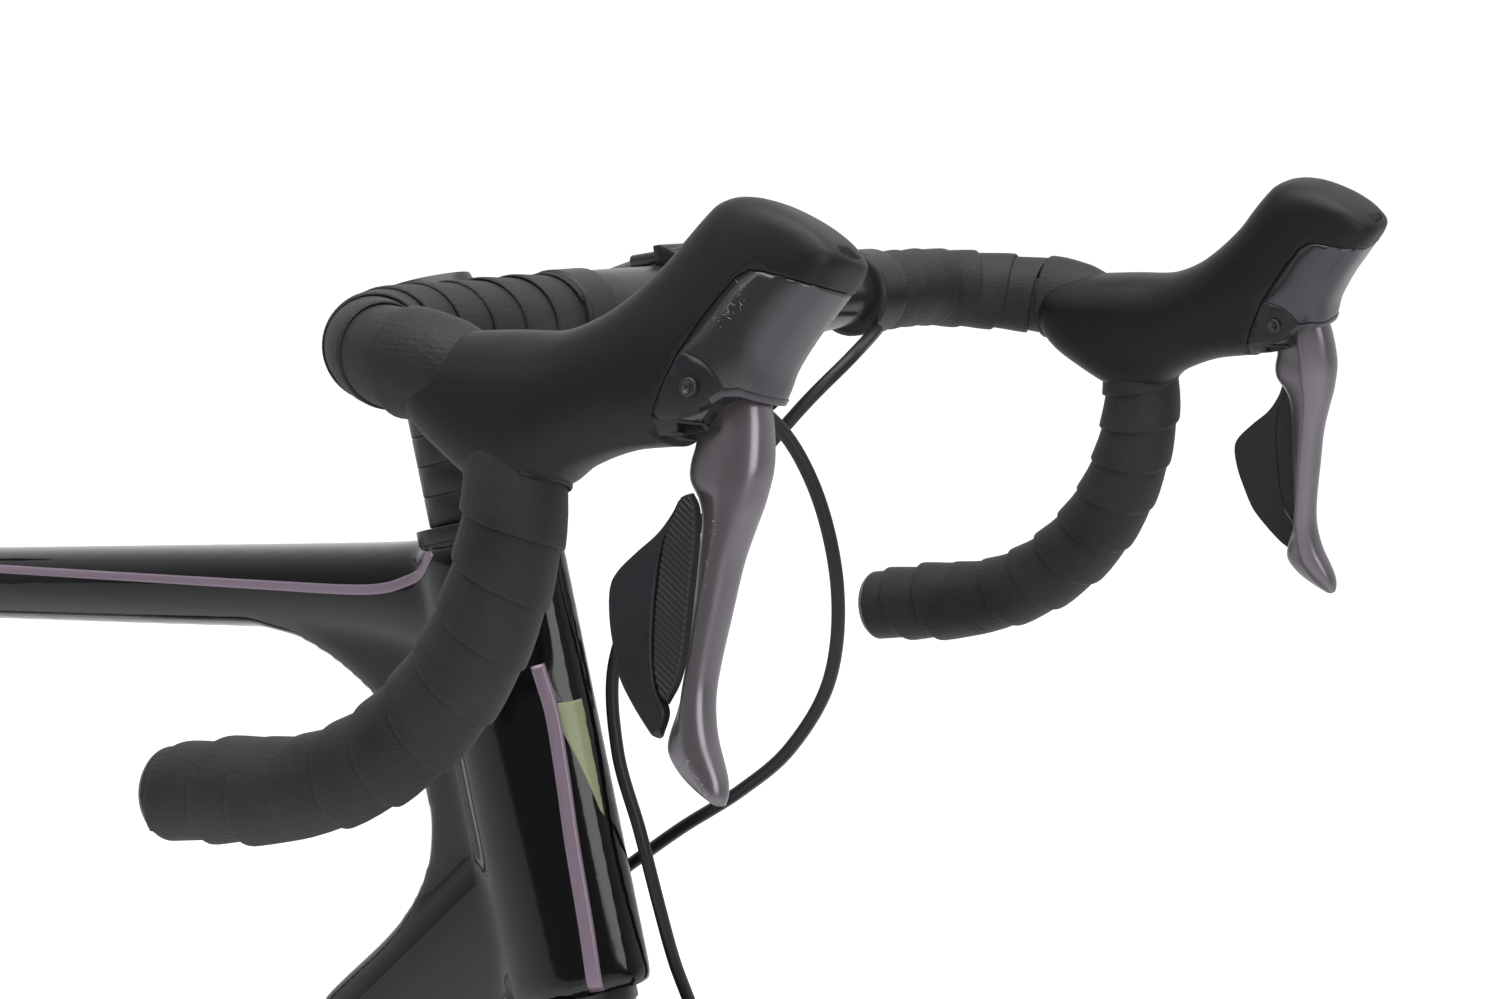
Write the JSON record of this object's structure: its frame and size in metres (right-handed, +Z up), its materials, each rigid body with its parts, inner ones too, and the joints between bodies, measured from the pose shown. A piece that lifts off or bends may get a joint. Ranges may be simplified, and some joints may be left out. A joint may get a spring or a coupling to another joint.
{
  "type": "road bicycle",
  "caption": "Disc-brake road bicycle with a deep black moulded frame, drop bar, tall rubber hoods, brake levers with shift paddles and wire-free derailleurs.",
  "frame": {"origin": "on the ground, half way between the wheel axles, on the mid-plane", "axes": "+X forward, +Y to the rider's left, +Z up"},
  "size_m": [1.6739, 0.4642, 1.0036],
  "materials": {
    "carbon_frame": "deep gloss black lacquer over carbon",
    "carbon_parts": "satin black carbon",
    "black_alloy": "black anodised",
    "steel": "bright steel",
    "black_steel": "black oxide",
    "silver_alloy": "silver",
    "hood_rubber": "matte moulded rubber",
    "bar_tape": "matte embossed synthetic tape",
    "lever_gloss": "gloss anthracite with a purple cast",
    "black_plastic": "matte moulded plastic",
    "tyre": "black tread",
    "saddle_cover": "matte synthetic leather",
    "pad_compound": "sintered pad on a steel plate"
  },
  "bodies": {
    "frame": {"head_tube": "carbon_frame", "top_tube": "carbon_frame", "down_tube": "carbon_frame", "seat_tube": "carbon_frame", "chainstays": "carbon_frame", "seatstays": "carbon_frame", "bearing_cups": "black_alloy", "bottle_bosses": "silver_alloy", "seatpost": "carbon_parts", "seat_clamp": "black_alloy", "saddle_base": "black_plastic", "saddle_pad": "saddle_cover", "rear_thru_axle": "black_alloy", "rear_caliper": "black_alloy", "front_derailleur": "black_alloy", "chain": "steel", "rear_hose": "hood_rubber", "rear_derailleur_base": "black_alloy"},
    "steering": {"fork": "carbon_frame", "front_thru_axle": "black_alloy", "front_caliper": "black_alloy", "front_hose": "hood_rubber", "spacers": "black_alloy", "stem": "black_alloy", "faceplate": "black_alloy", "stem_bolts": "black_steel", "handlebar": "black_alloy", "bar_tape": "bar_tape", "bar_plugs": "black_plastic", "lever_bodies": "lever_gloss", "hoods": "hood_rubber", "pivot_pins": "black_steel"},
    "front_wheel": {"front_tyre": "tyre", "front_rim": "carbon_parts", "front_hub": "black_alloy"},
    "rear_wheel": {"rear_tyre": "tyre", "rear_rim": "carbon_parts", "rear_hub": "black_alloy"},
    "cassette_body": {"cassette": "steel"},
    "crankset": {"crank_right": "carbon_parts", "crank_left": "carbon_parts", "chainrings": "black_alloy"},
    "right_pedal": {"pedal_right": "black_alloy"},
    "left_pedal": {"pedal_left": "black_alloy"},
    "lever_right": {"brake_lever_right": "lever_gloss"},
    "lever_left": {"brake_lever_left": "lever_gloss"},
    "paddle_right": {"shift_paddle_right": "black_plastic"},
    "paddle_left": {"shift_paddle_left": "black_plastic"},
    "button_right": {"shift_button_right": "black_plastic"},
    "button_left": {"shift_button_left": "black_plastic"},
    "front_pad_in": {"front_pad_inner": "pad_compound"},
    "front_pad_out": {"front_pad_outer": "pad_compound"},
    "rear_pad_in": {"rear_pad_inner": "pad_compound"},
    "rear_pad_out": {"rear_pad_outer": "pad_compound"},
    "front_mech": {"front_derailleur_cage": "steel"},
    "rear_mech_link": {"rear_derailleur_link": "black_alloy"},
    "rear_mech_knuckle": {"rear_derailleur_knuckle": "black_alloy"},
    "rear_mech_cage": {"rear_derailleur_cage": "black_alloy"},
    "upper_pulley": {"guide_pulley": "black_plastic"},
    "lower_pulley": {"tension_pulley": "black_plastic"}
  },
  "joints": [
    {"name": "steering_turn", "type": "hinge", "parent": "frame", "child": "steering", "pos_m": [0.34759, 0, 0.67705], "axis": [-0.2924, 0, 0.9563], "range_deg": [-65, 65], "deforming": ["rear_hose"]},
    {"name": "front_wheel_spin", "type": "hinge", "parent": "steering", "child": "front_wheel", "pos_m": [0.498, 0, 0.339], "axis": [0, 1, 0], "continuous": true},
    {"name": "rear_wheel_spin", "type": "hinge", "parent": "frame", "child": "rear_wheel", "pos_m": [-0.498, 0, 0.339], "axis": [0, 1, 0], "continuous": true},
    {"name": "crank_spin", "type": "hinge", "parent": "frame", "child": "crankset", "pos_m": [-0.09402, 0, 0.269], "axis": [0, 1, 0], "continuous": true},
    {"name": "cassette_spin", "type": "hinge", "parent": "frame", "child": "cassette_body", "pos_m": [-0.498, 0, 0.339], "axis": [0, 1, 0], "continuous": true},
    {"name": "pedal_right_spin", "type": "hinge", "parent": "crankset", "child": "right_pedal", "pos_m": [0.07848, -0.102, 0.269], "axis": [0, 1, 0], "continuous": true},
    {"name": "pedal_left_spin", "type": "hinge", "parent": "crankset", "child": "left_pedal", "pos_m": [-0.26652, 0.102, 0.269], "axis": [0, 1, 0], "continuous": true},
    {"name": "brake_right_pull", "type": "hinge", "parent": "steering", "child": "lever_right", "pos_m": [0.53543, -0.19931, 0.95311], "axis": [0, 0.9848, -0.1736], "range_deg": [0, 17], "stiffness_Nm_per_rad": 1},
    {"name": "paddle_right_press", "type": "hinge", "parent": "lever_right", "child": "paddle_right", "pos_m": [0.53243, -0.21337, 0.8906], "axis": [0, -0.1736, -0.9848], "range_deg": [0, 6], "stiffness_Nm_per_rad": 0.05},
    {"name": "button_right_press", "type": "hinge", "parent": "lever_right", "child": "button_right", "pos_m": [0.53243, -0.21337, 0.8906], "axis": [0, -0.1736, -0.9848], "range_deg": [0, 5], "stiffness_Nm_per_rad": 0.04},
    {"name": "brake_left_pull", "type": "hinge", "parent": "steering", "child": "lever_left", "pos_m": [0.53543, 0.19931, 0.95311], "axis": [0, 0.9848, 0.1736], "range_deg": [0, 17], "stiffness_Nm_per_rad": 1},
    {"name": "paddle_left_press", "type": "hinge", "parent": "lever_left", "child": "paddle_left", "pos_m": [0.53243, 0.21337, 0.8906], "axis": [0, -0.1736, 0.9848], "range_deg": [0, 6], "stiffness_Nm_per_rad": 0.05},
    {"name": "button_left_press", "type": "hinge", "parent": "lever_left", "child": "button_left", "pos_m": [0.53243, 0.21337, 0.8906], "axis": [0, -0.1736, 0.9848], "range_deg": [0, 5], "stiffness_Nm_per_rad": 0.04},
    {"name": "front_pad_in_slide", "type": "slide", "parent": "steering", "child": "front_pad_in", "axis": [0, 1, 0], "range_m": [0, 0.0003]},
    {"name": "front_pad_out_slide", "type": "slide", "parent": "steering", "child": "front_pad_out", "axis": [0, -1, 0], "range_m": [0, 0.0003]},
    {"name": "rear_pad_in_slide", "type": "slide", "parent": "frame", "child": "rear_pad_in", "axis": [0, 1, 0], "range_m": [0, 0.0003]},
    {"name": "rear_pad_out_slide", "type": "slide", "parent": "frame", "child": "rear_pad_out", "axis": [0, -1, 0], "range_m": [0, 0.0003]},
    {"name": "front_shift", "type": "slide", "parent": "frame", "child": "front_mech", "axis": [0, 1, 0], "range_m": [0, 0.0075], "deforming": ["chain"]},
    {"name": "rear_shift", "type": "hinge", "parent": "frame", "child": "rear_mech_link", "pos_m": [-0.498, -0.086, 0.297], "axis": [1, 0, 0], "range_deg": [-28, 28], "deforming": ["chain"]},
    {"name": "rear_shift_knuckle", "type": "hinge", "parent": "rear_mech_link", "child": "rear_mech_knuckle", "pos_m": [-0.492, -0.086, 0.259], "axis": [1, 0, 0], "range_deg": [-28, 28], "deforming": ["chain"]},
    {"name": "chain_tension", "type": "hinge", "parent": "rear_mech_knuckle", "child": "rear_mech_cage", "pos_m": [-0.492, -0.06, 0.243], "axis": [0, 1, 0], "range_deg": [-15, 25], "stiffness_Nm_per_rad": 1.2, "deforming": ["chain"]},
    {"name": "upper_pulley_spin", "type": "hinge", "parent": "rear_mech_cage", "child": "upper_pulley", "pos_m": [-0.486, 0, 0.247], "axis": [0, 1, 0], "continuous": true},
    {"name": "lower_pulley_spin", "type": "hinge", "parent": "rear_mech_cage", "child": "lower_pulley", "pos_m": [-0.452, 0, 0.203], "axis": [0, 1, 0], "continuous": true}
  ],
  "couplings": [
    {"joint": "cassette_spin", "follows": "crank_spin", "ratio": 2.9412},
    {"joint": "upper_pulley_spin", "follows": "crank_spin", "ratio": -4.5455},
    {"joint": "lower_pulley_spin", "follows": "crank_spin", "ratio": 4.5455},
    {"joint": "rear_shift_knuckle", "follows": "rear_shift", "ratio": -1},
    {"joint": "front_pad_in_slide", "follows": "brake_left_pull", "m_per_rad": 0.001},
    {"joint": "front_pad_out_slide", "follows": "brake_left_pull", "m_per_rad": 0.001},
    {"joint": "rear_pad_in_slide", "follows": "brake_right_pull", "m_per_rad": 0.001},
    {"joint": "rear_pad_out_slide", "follows": "brake_right_pull", "m_per_rad": 0.001}
  ]
}
